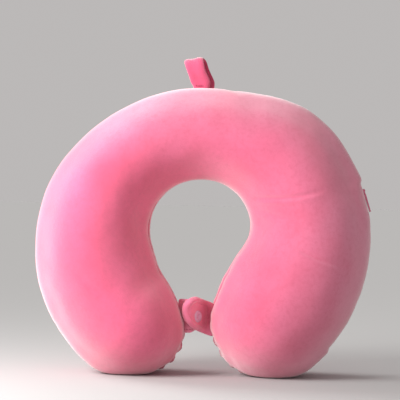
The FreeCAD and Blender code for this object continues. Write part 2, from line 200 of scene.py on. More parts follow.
def crease_relief(points):
    """Depth of the long folds at each point of the front panel."""
    relief = np.zeros(points.shape[:-1])
    for begin, end, depth, width in CREASES:
        begin, end = np.array(begin), np.array(end)
        span = end - begin
        place = points[..., [0, 2]] - begin
        share = (place @ span) / (span @ span)
        bow = 0.05 * np.sin(np.pi * np.clip(share, 0, 1)) * np.linalg.norm(span)
        across = (place[..., 0] * span[1] - place[..., 1] * span[0]) / np.linalg.norm(span) - bow
        fade = np.sin(np.pi * np.clip(share, 0, 1)) ** 0.7
        fold = np.exp(-((across / width) ** 2)) - 0.5 * np.exp(-(((across - 2.2 * width) / width) ** 2))
        relief = relief + depth * fade * fold
    return relief


def normals_of(points):
    """Outward normals of a grid of points (rings by around)."""
    du = np.gradient(points, axis=0)
    dv = np.gradient(points, axis=1)
    n = np.cross(dv, du)
    length = np.linalg.norm(n, axis=-1, keepdims=True)
    return n / np.maximum(length, 1e-9)


def seam_lengths(turn, dome, around, inset=0.0):
    """Distance along the seam at one rim, ring by ring, from the middle of the crown."""
    line = skin(turn, dome, around, inset)
    steps = np.linalg.norm(np.diff(line, axis=0), axis=-1)
    total = np.concatenate([[0], np.cumsum(steps)])
    return total - total[-1] / 2


def zip_edge(turn):
    """How far from the seam plane a panel's outer edge stands, where it makes way for the zip."""
    opening = np.clip((turn - ZIP_START + 0.6) / 1.8, 0, 1)
    closing = np.clip((ZIP_START + ZIP_SWEEP + 0.6 - turn) / 1.8, 0, 1)
    rise = opening * closing
    return SEAM_GAP + (ZIP_HALF + 0.1 - SEAM_GAP) * rise * rise * (3 - 2 * rise)


def worked_rise(points, side, turn, dome, edge):
    """How far a cover panel's points stand out from the smooth form: seams, folds and swelling."""
    steps = np.linalg.norm(np.diff(points, axis=1), axis=-1)
    from_outer = np.concatenate([np.zeros((len(turn), 1)), np.cumsum(steps, axis=1)], axis=1)
    from_inner = from_outer[:, -1:] - from_outer
    outer_along = seam_lengths(turn, dome, 0.0)[:, None]
    inner_along = seam_lengths(turn, dome, np.pi)[:, None]
    near_zip = np.clip((edge - SEAM_GAP) / ZIP_HALF, 0, 1)[:, None]
    lobe = hump(dome, 90.0, 66.0)[:, None]
    outer_places, inner_places = GATHERS[side]
    relief = seam_relief(outer_along, from_outer, outer_places, lobe) * (1 - 0.6 * near_zip)
    relief = relief + seam_relief(inner_along, from_inner, inner_places, lobe)
    beside_zip = 1.9 * hump(turn, ZIP_START + 8.0, 40.0) + 1.5 * hump(turn, ZIP_START + 7.0, 22.0)
    relief = relief - beside_zip[:, None] * np.exp(-(((from_outer - 17.0) / 12.0) ** 2))
    seeds = np.array([3.1, 8.4 * side, 1.7])
    relief = relief - 0.9 * soft_noise(points, 55.0, seeds)
    relief = relief - 0.30 * soft_noise(points, 19.0, seeds + 5)
    if side < 0:
        off_rest = np.linalg.norm(points - TAB_REST, axis=-1)
        relief = relief + crease_relief(points)
        relief = relief + TAB_REST_DEPTH * np.exp(-((off_rest / TAB_REST_REACH) ** 2))
    fade = np.clip(np.minimum(from_outer, from_inner) / 1.5, 0.35, 1)
    rise = swelling(side, *points.shape[:2]) - relief * fade
    for along, off in ((outer_along, from_outer), (inner_along, from_inner)):
        rise = rise + 2.0 * lobe * scallops(along) * np.exp(-((off / 4.2) ** 2))
    return rise


def panel_grid(side, inset, step, dome_step, columns, worked):
    """A panel's grid of points, ring by ring; side is -1 for the front and 1 for the back.

    The columns lie closer together near the seams. Only a worked panel has seams and folds.
    """
    turn, dome = stations(step, dome_step)
    edge = zip_edge(turn)
    half_depth = half_sizes(turn, inset)[2]
    span = np.maximum(half_depth * np.cos(np.radians(dome)), 0.2)
    begin = np.arcsin(np.clip(edge / span, 0, 0.6))
    finish = np.pi - np.arcsin(np.clip(SEAM_GAP / span, 0, 0.6))
    share = np.linspace(0, 1, columns + 1)
    share = share - 0.055 * np.sin(4 * np.pi * share) / 2 - 0.10 * np.sin(2 * np.pi * share) / 2
    around = begin[:, None] + (finish - begin)[:, None] * share[None, :]
    points = skin(turn[:, None], dome[:, None], around, inset)
    if worked:
        rise = worked_rise(points, side, turn, dome, edge)
        points = points + normals_of(points) * rise[..., None]
    points[..., 1] *= 1 if side < 0 else -1
    return settle(points, inset)


SIM_STEP, SIM_DOME_STEP, SIM_COLUMNS, SIM_FRAMES = 1.6, 6.0, 64, 20
SIM_SHRUNK, SIM_WRINKLE, SIM_SHARE, SIM_CAP = 1.2, 0.5, 0.6, 1.3
SIM_PRESSURE, SIM_GROWTH = 4.0, -0.012


def resampled(grid, rows, columns):
    """Stretch a grid of numbers to other counts of rows and columns."""
    for count in (rows, columns):
        at = np.linspace(0, grid.shape[0] - 1, count)
        low = np.minimum(at.astype(int), grid.shape[0] - 2)
        share = (at - low)[:, None]
        grid = (grid[low] * (1 - share) + grid[low + 1] * share).T
    return grid


def simulated_swelling(seed):
    """Inflate a panel as cloth held at its seam; returns how far each grid point moved outwards."""
    bare = panel_grid(-1, 0.0, SIM_STEP, SIM_DOME_STEP, SIM_COLUMNS, False)
    start = panel_grid(-1, SIM_SHRUNK, SIM_STEP, SIM_DOME_STEP, SIM_COLUMNS, False)
    outward = normals_of(bare)
    start = start + outward * SIM_WRINKLE * soft_noise(bare, 14.0, np.full(3, seed))[..., None]
    start[:, [0, -1]] = bare[:, [0, -1]]
    rings, width = bare.shape[:2]
    faces = [
        (i * width + j, i * width + j + 1, (i + 1) * width + j + 1, (i + 1) * width + j)
        for i in range(rings - 1) for j in range(width - 1)
    ]
    cloth_sheet = make_mesh("sim_sheet", (start.reshape(-1, 3) * MM).tolist(), faces)
    middle = (rings // 2) * width + width // 2
    if cloth_sheet.data.vertices[middle].normal.dot(Vector(outward.reshape(-1, 3)[middle])) < 0:
        cloth_sheet.data.flip_normals()
    held = cloth_sheet.vertex_groups.new(name="held")
    seam = [i * width + j for i in range(rings) for j in range(width)
            if j in (0, width - 1) or i in (0, rings - 1)]
    held.add(seam, 1.0, "REPLACE")
    cloth = cloth_sheet.modifiers.new("Cloth", "CLOTH")
    settings = cloth.settings
    settings.vertex_group_mass = "held"
    settings.quality = 5
    settings.use_pressure = True
    settings.uniform_pressure_force = SIM_PRESSURE
    settings.shrink_min = SIM_GROWTH
    settings.effector_weights.gravity = 0
    cloth.collision_settings.use_collision = False
    for step in range(1, SIM_FRAMES + 1):
        bpy.context.scene.frame_set(step)
    result = cloth_sheet.evaluated_get(bpy.context.evaluated_depsgraph_get()).to_mesh()
    settled = np.empty(rings * width * 3)
    result.vertices.foreach_get("co", settled)
    bpy.data.objects.remove(cloth_sheet)
    bpy.context.scene.frame_set(1)
    return ((settled.reshape(bare.shape) / MM - bare) * outward).sum(axis=-1)


swellings = {}


def swelling(side, rings, width):
    if side not in swellings:
        moved = simulated_swelling(4.0 + side)
        swellings[side] = SIM_CAP * np.tanh(SIM_SHARE * moved / SIM_CAP)
    return resampled(swellings[side], rings, width)


INSIDE_COLUMNS = 12  # the inside face of a panel is never seen close


def tip(turn, inset):
    """The very end of a lobe, on the seam plane."""
    return settle(skin(np.array([turn]), np.array([90.0]), np.array([0.0]), inset), inset)[0]


def closed_panel(name, side, outside, inside, step, dome_step, columns, worked=True):
    """A panel with an outside and an inside face, closed along the seam."""
    outer = panel_grid(side, outside, step, dome_step, columns, worked)
    inner = panel_grid(side, inside, step, dome_step, INSIDE_COLUMNS, False)
    rings = outer.shape[0]
    verts, faces = [], []

    def add_grid(grid, flip):
        base, width = len(verts), grid.shape[1]
        verts.extend(grid.reshape(-1, 3).tolist())
        for i in range(rings - 1):
            for j in range(width - 1):
                a = base + i * width + j
                quad = (a, a + 1, a + width + 1, a + width)
                faces.append(quad[::-1] if flip else quad)
        return base, width

    flip = side > 0
    o_base, o_width = add_grid(outer, flip)
    i_base, i_width = add_grid(inner, not flip)

    def face(*corners):
        faces.append(corners[::-1] if flip else corners)

    for i in range(rings - 1):
        a, b = o_base + i * o_width, o_base + (i + 1) * o_width
        c, d = i_base + i * i_width, i_base + (i + 1) * i_width
        face(a, b, d, c)
        a, b = a + o_width - 1, b + o_width - 1
        c, d = c + i_width - 1, d + i_width - 1
        face(b, a, c, d)
    for ring, turn, forward in ((0, -ARM_END, False), (rings - 1, ARM_END, True)):
        o_tip, i_tip = len(verts), len(verts) + 1
        outer_tip, inner_tip = (outer[ring, 0] + outer[ring, -1]) / 2, tip(turn, inside)
        outer_tip[1] = inner_tip[1] = SEAM_GAP * side
        verts.extend([outer_tip.tolist(), inner_tip.tolist()])
        o_row, i_row = o_base + ring * o_width, i_base + ring * i_width

        def cap(*corners):
            face(*(corners if forward else corners[::-1]))

        for j in range(o_width - 1):
            cap(o_row + j, o_row + j + 1, o_tip)
        for j in range(i_width - 1):
            cap(i_row + j + 1, i_row + j, i_tip)
        cap(o_row, o_tip, i_tip, i_row)
        cap(o_tip, o_row + o_width - 1, i_row + i_width - 1, i_tip)
    return make_mesh(name, [[c * MM for c in v] for v in verts], faces)


# ---------------------------------------------------------------- mesh helpers
def make_mesh(name, verts, faces, smooth=True):
    mesh = bpy.data.meshes.new(name)
    mesh.from_pydata(verts, [], faces)
    mesh.validate()
    mesh.update()
    item = bpy.data.objects.new(name, mesh)
    bpy.context.scene.collection.objects.link(item)
    tidy = bmesh.new()
    tidy.from_mesh(mesh)
    bmesh.ops.recalc_face_normals(tidy, faces=tidy.faces)
    tidy.to_mesh(mesh)
    tidy.free()
    for polygon in mesh.polygons:
        polygon.use_smooth = smooth
    return item


# ---------------------------------------------------------------- materials
def new_material(name):
    material = bpy.data.materials.new(name)
    material.use_nodes = True
    tree = material.node_tree
    return material, tree, tree.nodes["Principled BSDF"]


def add_node(tree, kind, **values):
    node = tree.nodes.new(kind)
    for key, value in values.items():
        if hasattr(node, key):
            setattr(node, key, value)
        else:
            node.inputs[key].default_value = value
    return node


def noise_node(tree, coordinates, scale, detail, roughness=0.5):
    node = add_node(tree, "ShaderNodeTexNoise", Scale=scale, Detail=detail, Roughness=roughness)
    tree.links.new(coordinates, node.inputs["Vector"])
    return node.outputs["Fac"]


def spread(tree, value, low, high, out_low, out_high):
    node = tree.nodes.new("ShaderNodeMapRange")
    for key, number in zip(("From Min", "From Max", "To Min", "To Max"), (low, high, out_low, out_high)):
        node.inputs[key].default_value = number
    tree.links.new(value, node.inputs["Value"])
    return node.outputs["Result"]


def combine(tree, operation, first, second):
    node = add_node(tree, "ShaderNodeMath", operation=operation)
    tree.links.new(first, node.inputs[0])
    tree.links.new(second, node.inputs[1])
    return node.outputs[0]


def darkened(colour, share):
    return tuple(share * c for c in colour)


def blend_colours(tree, factor, first, second):
    node = tree.nodes.new("ShaderNodeMix")
    node.data_type = "RGBA"
    tree.links.new(factor, node.inputs["Factor"])
    for socket, colour in ((node.inputs["A"], first), (node.inputs["B"], second)):
        if isinstance(colour, bpy.types.NodeSocket):
            tree.links.new(colour, socket)
        else:
            socket.default_value = (*colour, 1)
    return node.outputs["Result"]


def bump(tree, shader, layers):
    """Chain bump layers (height, strength, distance) into the shader's normal."""
    previous = None
    for height, strength, distance in layers:
        node = add_node(tree, "ShaderNodeBump", Strength=strength, Distance=distance)
        tree.links.new(height, node.inputs["Height"])
        if previous:
            tree.links.new(previous, node.inputs["Normal"])
        previous = node.outputs["Normal"]
    tree.links.new(previous, shader.inputs["Normal"])


def velour(name, deep, bright, sheen=1.0, painted_light=None):
    """Short plush pile: patches of uneven tone, fine grain and a pale bloom at grazing angles.

    The last argument paints light or shade as colour over one region of the object: its colour, then where
    across the object that begins, where it is full and how strong it is, the same for upwards, and how the
    two are joined.
    """
    material, tree, shader = new_material(name)
    place = add_node(tree, "ShaderNodeTexCoord").outputs["Object"]
    patches = noise_node(tree, place, 26.0, 3.0)
    grain = noise_node(tree, place, 1500.0, 2.0, 0.7)
    mottle = noise_node(tree, place, 260.0, 3.0, 0.6)
    colour = blend_colours(tree, spread(tree, patches, 0.32, 0.68, 0.0, 1.0), deep, bright)
    # painted light or shade: a flat colour laid over one region of the object by its place
    if painted_light:
        painted_colour, x_from, x_to, x_most, z_from, z_to, z_most, joined = painted_light
        axes = tree.nodes.new("ShaderNodeSeparateXYZ")
        tree.links.new(place, axes.inputs[0])
        across = spread(tree, axes.outputs["X"], x_from, x_to, 0.0, x_most)
        upward = spread(tree, axes.outputs["Z"], z_from, z_to, 0.0, z_most)
        both = combine(tree, joined, across, upward)
        uneven = combine(tree, "MULTIPLY", both, spread(tree, patches, 0.3, 0.7, 0.7, 1.15))
        colour = blend_colours(tree, uneven, colour, painted_colour)
    darker = darkened(deep, 0.80)
    colour = blend_colours(tree, spread(tree, mottle, 0.45, 0.75, 0.0, 0.35), colour, darker)
    colour = blend_colours(tree, spread(tree, grain, 0.35, 0.70, 0.25, 0.0), colour, darker)
    tree.links.new(colour, shader.inputs["Base Color"])
    tree.links.new(spread(tree, grain, 0.3, 0.7, 0.78, 0.95), shader.inputs["Roughness"])
    shader.inputs["Specular IOR Level"].default_value = 0.15
    shader.inputs["Sheen Weight"].default_value = sheen
    shader.inputs["Sheen Roughness"].default_value = 0.62
    shader.inputs["Sheen Tint"].default_value = (1.0, 0.895, 0.89, 1)
    bump(tree, shader, [(mottle, 0.25, 0.0006), (grain, 0.35, 0.0004)])
    return material


PINK_DEEP, PINK_BRIGHT = (0.70, 0.062, 0.165), (0.80, 0.092, 0.225)
# painted sheen: the cover's top and +X arm are painted paler, as where the pile catches the light
PAINTED_SHEEN = ((0.66, 0.20, 0.32), 0.0, 0.15, 0.75, 0.185, 0.262, 0.85, "MAXIMUM")
velour_material = velour("velour_pile", PINK_DEEP, PINK_BRIGHT, painted_light=PAINTED_SHEEN)


def woven(name, colour, pitch, shine=0.2):
    """A plain woven or knitted cloth: two crossing ribs with a little unevenness."""
    material, tree, shader = new_material(name)
    place = add_node(tree, "ShaderNodeTexCoord").outputs["Object"]
    ribs = []
    for direction in ("X", "Z"):
        wave = add_node(tree, "ShaderNodeTexWave", wave_type="BANDS", bands_direction=direction)
        wave.inputs["Scale"].default_value = 0.31 / pitch
        wave.inputs["Distortion"].default_value = 0.6
        wave.inputs["Detail"].default_value = 1.0
        tree.links.new(place, wave.inputs["Vector"])
        ribs.append(wave.outputs["Fac"])
    weave = combine(tree, "MULTIPLY", *ribs)
    patches = spread(tree, noise_node(tree, place, 120.0, 3.0), 0.3, 0.7, 0, 1)
    shade = blend_colours(tree, patches, darkened(colour, 0.86), colour)
    shade = blend_colours(tree, spread(tree, weave, 0, 1, 0.35, 0), shade, darkened(colour, 0.6))
    tree.links.new(shade, shader.inputs["Base Color"])
    shader.inputs["Roughness"].default_value = 0.85
    shader.inputs["Specular IOR Level"].default_value = shine
    shader.inputs["Sheen Weight"].default_value = 0.25
    bump(tree, shader, [(weave, 0.5, 0.0002)])
    return material


def moulded(name, colour, roughness, coat):
    """Moulded plastic or painted metal with faint unevenness in gloss."""
    material, tree, shader = new_material(name)
    place = add_node(tree, "ShaderNodeTexCoord").outputs["Object"]
    patches = spread(tree, noise_node(tree, place, 240.0, 3.0), 0.3, 0.7, 0, 1)
    fine = noise_node(tree, place, 1800.0, 2.0)
    gloss = spread(tree, fine, 0.3, 0.7, roughness - 0.05, roughness + 0.08)
    tree.links.new(blend_colours(tree, patches, darkened(colour, 0.92), colour), shader.inputs["Base Color"])
    tree.links.new(gloss, shader.inputs["Roughness"])
    shader.inputs["Coat Weight"].default_value = coat
    bump(tree, shader, [(fine, 0.06, 0.0001)])
    return material


def foam(name, colour):
    """Open-cell moulded foam: fine pores under a slightly closed skin."""
    material, tree, shader = new_material(name)
    place = add_node(tree, "ShaderNodeTexCoord").outputs["Object"]
    cells = add_node(tree, "ShaderNodeTexVoronoi", Scale=900.0)
    tree.links.new(place, cells.inputs["Vector"])
    pores = spread(tree, cells.outputs["Distance"], 0.1, 0.6, 0.0, 1.0)
    shade = blend_colours(tree, pores, darkened(colour, 0.78), colour)
    tree.links.new(shade, shader.inputs["Base Color"])
    shader.inputs["Roughness"].default_value = 0.95
    bump(tree, shader, [(pores, 0.4, 0.0004)])
    return material


tape_material = woven("zip_tape_weave", (0.78, 0.16, 0.30), 0.0007)
thread_material = woven("stitch_thread", (0.80, 0.14, 0.27), 0.0003, 0.3)
liner_material = woven("liner_knit", (0.86, 0.85, 0.82), 0.0009)
foam_material = foam("memory_foam_cells", (0.90, 0.86, 0.70))
snap_material = moulded("snap_moulded_plastic", (0.74, 0.50, 0.64), 0.28, 0.4)
zip_paint = moulded("zip_pink_enamel", (0.78, 0.17, 0.31), 0.32, 0.5)
coil_material = moulded("zip_coil_nylon", (0.82, 0.20, 0.34), 0.42, 0.1)

# ---------------------------------------------------------------- cover, liner and core
front_panel = closed_panel("cover_front_velour", -1, 0.0, 2.6, 0.8, 1.5, 120)
back_panel = closed_panel("cover_back_velour", 1, 0.0, 2.6, 0.8, 1.5, 120)
liner_front = closed_panel("liner_front_knit", -1, 3.4, 4.2, 6.0, 9.0, 28, worked=False)
liner_back = closed_panel("liner_back_knit", 1, 3.4, 4.2, 6.0, 9.0, 28, worked=False)


def whole_form(name, inset, step, dome_step, columns):
    """One closed U at a depth below the cover's outside."""
    turn, dome = stations(step, dome_step)
    around = np.linspace(0, 2 * np.pi, columns, endpoint=False)
    grid = settle(skin(turn[:, None], dome[:, None], around[None, :], inset), inset)
    rings = len(turn)
    verts = grid.reshape(-1, 3).tolist()
    faces = [
        (i * columns + j, i * columns + (j + 1) % columns,
         (i + 1) * columns + (j + 1) % columns, (i + 1) * columns + j)
        for i in range(rings - 1) for j in range(columns)
    ]
    for ring, turn_at in ((0, -ARM_END), (rings - 1, ARM_END)):
        point = len(verts)
        verts.append(tip(turn_at, inset).tolist())
        faces += [(ring * columns + j, ring * columns + (j + 1) % columns, point) for j in range(columns)]
    return make_mesh(name, [[c * MM for c in v] for v in verts], faces)


core = whole_form("foam_core_moulding", 4.8, 5.0, 8.0, 64)

for piece, node, slot, material in (
    (front_panel, "cover_front_panel", "velour", velour_material),
    (back_panel, "cover_back_panel", "velour", velour_material),
    (liner_front, "liner_front_panel", "liner_knit", liner_material),
    (liner_back, "liner_back_panel", "liner_knit", liner_material),
    (core, "foam_core", "memory_foam", foam_material),
):
    piece.data.materials.append(material)
    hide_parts(node)
    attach(piece, "pillow")


# ---------------------------------------------------------------- swept and lathed shapes
def lathe(name, profile, centre, axis, segments=48):
    """Turn a profile (radius, height), in millimetres, about an axis through a centre."""
    axis = Vector(axis).normalized()
    spin = axis.to_track_quat("Z", "Y").to_matrix()
    verts, faces = [], []
    for radius, height in profile:
        for k in range(segments):
            angle = 2 * math.pi * k / segments
            local = Vector((radius * math.cos(angle), radius * math.sin(angle), height))
            verts.append([c * MM for c in (Vector(centre) + spin @ local)])
    for i in range(len(profile) - 1):
        for k in range(segments):
            a, b = i * segments + k, i * segments + (k + 1) % segments
            faces.append((a, b, b + segments, a + segments))
    faces.append(tuple(range(segments))[::-1])
    faces.append(tuple((len(profile) - 1) * segments + k for k in range(segments)))
    return make_mesh(name, verts, faces)


STRAP_POINTS, STRAP_SQUARE, STRAP_ROUND, STRAP_FOLD = 28, 3.2, 2.2, 0.4


def strap_section(width, thick):
    """Points round a soft-edged strap section, counter-clockwise, with a soft fold along it."""
    points = []
    for k in range(STRAP_POINTS):
        angle = 2 * math.pi * k / STRAP_POINTS
        c, s = math.cos(angle), math.sin(angle)
        across = math.copysign(abs(c) ** (2 / STRAP_SQUARE), c) * width / 2
        out = math.copysign(abs(s) ** (2 / STRAP_ROUND), s) * thick / 2
        points.append((across, out + STRAP_FOLD * math.cos(9.4 * across / width + 0.5)))
    return points


def sweep(name, path, sides, widths, thickness):
    """Carry a strap section along a path; sides gives the direction of its width at each point."""
    verts, faces = [], []
    count = STRAP_POINTS
    for i, point in enumerate(path):
        before, after = path[max(i - 1, 0)], path[min(i + 1, len(path) - 1)]
        ahead = (after - before).normalized()
        side = sides[i].normalized()
        up = ahead.cross(side).normalized()
        for u, v in strap_section(widths[i], thickness[i]):
            verts.append([c * MM for c in (point + side * u + up * v)])
    for i in range(len(path) - 1):
        for k in range(count):
            a, b = i * count + k, i * count + (k + 1) % count
            faces.append((a, b, b + count, a + count))
    faces.append(tuple(range(count))[::-1])
    faces.append(tuple((len(path) - 1) * count + k for k in range(count)))
    return make_mesh(name, verts, faces)


def smooth_line(knots, count):
    """A smooth curve through a few knots, evenly sampled."""
    knots = np.array(knots, float)
    at = np.concatenate([[0], np.cumsum(np.linalg.norm(np.diff(knots, axis=0), axis=1))])
    fine = np.linspace(0, at[-1], count)
    slopes = np.gradient(knots, at, axis=0)
    spans = np.clip(np.searchsorted(at, fine, side="right") - 1, 0, len(at) - 2)
    width = (at[spans + 1] - at[spans])[:, None]
    t = ((fine - at[spans]) / (at[spans + 1] - at[spans]))[:, None]
    line = (
        (2 * t**3 - 3 * t**2 + 1) * knots[spans]
        + (t**3 - 2 * t**2 + t) * width * slopes[spans]
        + (-2 * t**3 + 3 * t**2) * knots[spans + 1]
        + (t**3 - t**2) * width * slopes[spans + 1]
    )
    return [Vector(p) for p in line]


# ---------------------------------------------------------------- hanging loop
CROWN = HUB + OUTER - CROWN_DROP
LOOP_RISE = 27.0


def bend_with_loop(piece):
    """Bake the piece's placing into its mesh."""
    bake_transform(piece)


loop_path = smooth_line(
    [
        (-3.0, -1.6, CROWN - 4.5), (-3.4, -2.2, CROWN + 0.5), (-5.6, -3.7, CROWN + 8),
        (-8.6, -4.8, CROWN + 15), (-10.7, -4.5, CROWN + 22.0), (-11.2, -3.0, CROWN + 24.6),
        (-10.5, -0.4, CROWN + 25.4), (-8.8, 2.0, CROWN + 24.0), (-5.6, 3.4, CROWN + 17),
        (-2.0, 2.9, CROWN + 9), (0.6, 1.3, CROWN + 0.5), (0.8, 0.7, CROWN - 4.5),
    ],
    96,
)
loop_sides, loop_widths, loop_thick = [], [], []
for point in loop_path:
    height = min(max((point.z - CROWN) / LOOP_RISE, 0.0), 1.0)
    turn = math.radians(-3 - 17 * height**0.7)
    loop_sides.append(Vector((math.cos(turn), math.sin(turn), 0.13 * height + 0.01)))
    gather = min(max((point.z - CROWN + 1) / 8.0, 0), 1)
    opened = gather * gather * (3 - 2 * gather)
    loop_widths.append(14.4 + 3.0 * opened + 0.5 * math.sin(9.0 * height))
    loop_thick.append(2.5 + 0.5 * (1 - gather) + 0.25 * math.sin(14.0 * height + 1.0))
strap = sweep("hanging_loop_velour", loop_path, loop_sides, loop_widths, loop_thick)
strap_velour = velour("strap_velour_pile", (0.58, 0.045, 0.135), (0.72, 0.085, 0.20), 0.85)
strap.data.materials.append(strap_velour)
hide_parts("hanging_loop_strap")
bend_with_loop(strap)


STITCH_RINGS, STITCH_SIDES = 7, 8


def stitches(name, points, outward, length, radius, node):
    """A run of short raised stitches along a line; each sinks into the cloth at its ends."""
    sides = STITCH_SIDES
    verts, faces = [], []
    along = np.concatenate(
        [[0], np.cumsum([(points[i + 1] - points[i]).length for i in range(len(points) - 1)])]
    )
    count = max(int(along[-1] / (length * 1.35)), 1)
    last = STITCH_RINGS - 1
    for k in range(count):
        middle = (k + 0.5) * along[-1] / count
        ring_line = []
        for m in range(STITCH_RINGS):
            at = middle + length * (m / last - 0.5)
            at = min(max(at, 0), along[-1])
            i = min(int(np.searchsorted(along, at, side="right")) - 1, len(points) - 2)
            t = (at - along[i]) / max(along[i + 1] - along[i], 1e-9)
            ring_line.append((points[i].lerp(points[i + 1], t), outward[i].lerp(outward[i + 1], t)))
        base = len(verts)
        for m, (point, up) in enumerate(ring_line):
            swell = math.sin(math.pi * (m + 0.35) / 6.7)
            ahead = (ring_line[min(m + 1, last)][0] - ring_line[max(m - 1, 0)][0]).normalized()
            side = ahead.cross(up).normalized()
            centre = point + up * (radius * (1.1 * swell - 0.6))
            for q in range(sides):
                angle = 2 * math.pi * q / sides
                spoke = side * math.cos(angle) + up * math.sin(angle)
                spot = centre + spoke * radius * (0.45 + 0.55 * swell)
                verts.append([c * MM for c in spot])
        for m in range(last):
            for q in range(sides):
                a, b = base + m * sides + q, base + m * sides + (q + 1) % sides
                faces.append((a, b, b + sides, a + sides))
        faces.append(tuple(base + q for q in range(sides))[::-1])
        faces.append(tuple(base + last * sides + q for q in range(sides)))
    item = make_mesh(name, verts, faces)
    item.data.materials.append(thread_material)
    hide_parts(node)
    return item


TACK_POINTS, TACK_HEIGHT, TACK_ZIGZAG = 25, 2.0, 0.7
tack_line = []
for k in range(TACK_POINTS):
    zigzag = TACK_ZIGZAG if k % 2 else -TACK_ZIGZAG
    tack_line.append(Vector((-9.4 + 0.45 * k, -3.95 - 0.01 * k, CROWN + TACK_HEIGHT + zigzag)))
tack_outward = [Vector((0, -1, 0.1)).normalized()] * TACK_POINTS
tack = stitches("loop_bar_tack_thread", tack_line, tack_outward, 1.35, 0.28, "hanging_loop_bar_tack")
bend_with_loop(tack)


# ---------------------------------------------------------------- closure tabs
SNAP_Z = 52.0


def bend_with_tab(piece):
    """Bake the piece's placing into its mesh."""
    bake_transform(piece)


def tab_outline_reach(angle, half, end, root):
    """How far a tab's edge is from its snap, by angle; 0 points at the free end, pi at the root."""
    c, s = math.cos(angle), math.sin(angle)
    centre = end - half
    low, high = 0.0, 60.0
    for _ in range(40):
        middle = (low + high) / 2
        p, q = middle * c, middle * s
        if p > centre:
            inside = (p - centre) ** 2 + q * q < half * half
        else:
            inside = abs(q) < half and p > -root
        low, high = (middle, high) if inside else (low, middle)
    return low


TAB_RINGS, TAB_SPOKES = 30, 120


def tab_piece(name, tab, thick, rim):
    """A soft two-ply tab as a closed form. Its place maps (toward the end, across, out) to a point.

    stitched is the share of the way to the edge where the stitching runs; rim is how far the roll
    outside it stands up round the free end.
    """
    place, half, end, root, stitched = tab
    rings, spokes = TAB_RINGS, TAB_SPOKES
    verts, faces = [], []
    reach = [tab_outline_reach(2 * math.pi * k / spokes, half, end, root) for k in range(spokes)]
    for _ in range(2):
        reach = [(reach[k - 1] + 2 * reach[k] + reach[(k + 1) % spokes]) / 4 for k in range(spokes)]
    layers = []
    for face_side in (1, -1):
        for i in range(1, rings + 1):
            rho = math.sin(0.5 * math.pi * i / rings) if i < rings else 1.0
            layers.append((face_side, rho))
    top = [layer for layer in layers if layer[0] > 0]
    bottom = [layer for layer in layers if layer[0] < 0][:-1][::-1]
    for face_side, rho in top + bottom:
        puff = max(1 - rho**7, 0) ** 0.5
        seam = 0.55 * math.exp(-(((rho - stitched) / 0.045) ** 2))
        roll = rim * math.exp(-(((rho - 0.5 * (1 + stitched)) / 0.15) ** 2))
        dent = 0.5 * math.exp(-((rho / 0.42) ** 4))
        for k in range(spokes):
            angle = 2 * math.pi * k / spokes
            p, q = reach[k] * rho * math.cos(angle), reach[k] * rho * math.sin(angle)
            rolled = roll * min(max((p + 9.0) / 9.0, 0), 1) * puff
            sunk = seam * (1 if puff > 0.2 else 0)
            verts.append(place(p, q, face_side * (thick / 2 * puff * (1 - dent * 0.4) - sunk + rolled)))
    count = len(top) + len(bottom)
    for i in range(count - 1):
        for k in range(spokes):
            a, b = i * spokes + k, i * spokes + (k + 1) % spokes
            faces.append((a, b, b + spokes, a + spokes))
    for row, side in ((0, 1), (count - 1, -1)):
        hub = len(verts)
        verts.append(place(0.0, 0.0, side * thick / 2 * 0.8))
        for k in range(spokes):
            faces.append((row * spokes + k, row * spokes + (k + 1) % spokes, hub))
    return make_mesh(name, [[c * MM for c in v] for v in verts], faces)


def along_plan(plan, share):
    """A point and its leftward normal on a smooth plan curve, by share of its length."""
    at = min(max(share, 0.0), 1.0) * (len(plan) - 1)
    i = min(int(at), len(plan) - 2)
    point = plan[i].lerp(plan[i + 1], at - i)
    ahead = (plan[min(i + 2, len(plan) - 1)] - plan[max(i - 1, 0)]).normalized()
    return point, Vector((ahead.y, -ahead.x, 0.0))


FRONT_PLAN = smooth_line(
    [(12.8, 2.2, 0), (7.5, 2.0, 0), (2.2, -0.2, 0), (-3.4, -5.6, 0), (-7.0, -10.6, 0),
     (-10.4, -13.9, 0), (-14.2, -13.6, 0), (-16.8, -10.6, 0)],
    60,
)
BACK_PLAN = smooth_line(
    [(-20.5, 1.2, 0), (-15.5, -2.0, 0), (-11.6, -4.4, 0), (-8.9, -4.3, 0), (-6.3, -2.3, 0),
     (-2.6, 0.9, 0), (1.6, 3.6, 0)],
    60,
)
FRONT_ROOT, FRONT_END = 15.6, 15.6
BACK_ROOT, BACK_END = 16.0, 10.6


def front_tab_place(p, q, out):
    """The front tab starts in the +X lobe's seam and arches forward, its face a little to +X."""
    point, normal = along_plan(FRONT_PLAN, (p + FRONT_ROOT) / (FRONT_ROOT + FRONT_END))
    forward = -2.2 * min((p * p + q * q) / 260.0, 1.3) if p > 0 else -1.2 * min(q * q / 220.0, 1.3)
    low = 2.0 * (q / 15.0) ** 2 * (1 if q < 0 else 0)
    return (
        point.x - normal.x * out, point.y - normal.y * out + forward + low * 0.6,
        SNAP_Z + 2.9 + q + 0.24 * p + (0.18 if q < 0 else -0.16) * max(-p, 0) * (q / 15.0),
    )


def back_tab_place(p, q, out):
    """The back tab starts in the -X lobe's seam and lies along the back of the front one."""
    point, normal = along_plan(BACK_PLAN, (p + BACK_ROOT) / (BACK_ROOT + BACK_END))
    wave = 0.5 * math.sin(q / 5.0 + 1.0)
    height = SNAP_Z + 0.6 + q * 1.04 + 0.02 * p
    return (point.x - normal.x * out, point.y - normal.y * out + wave, height)


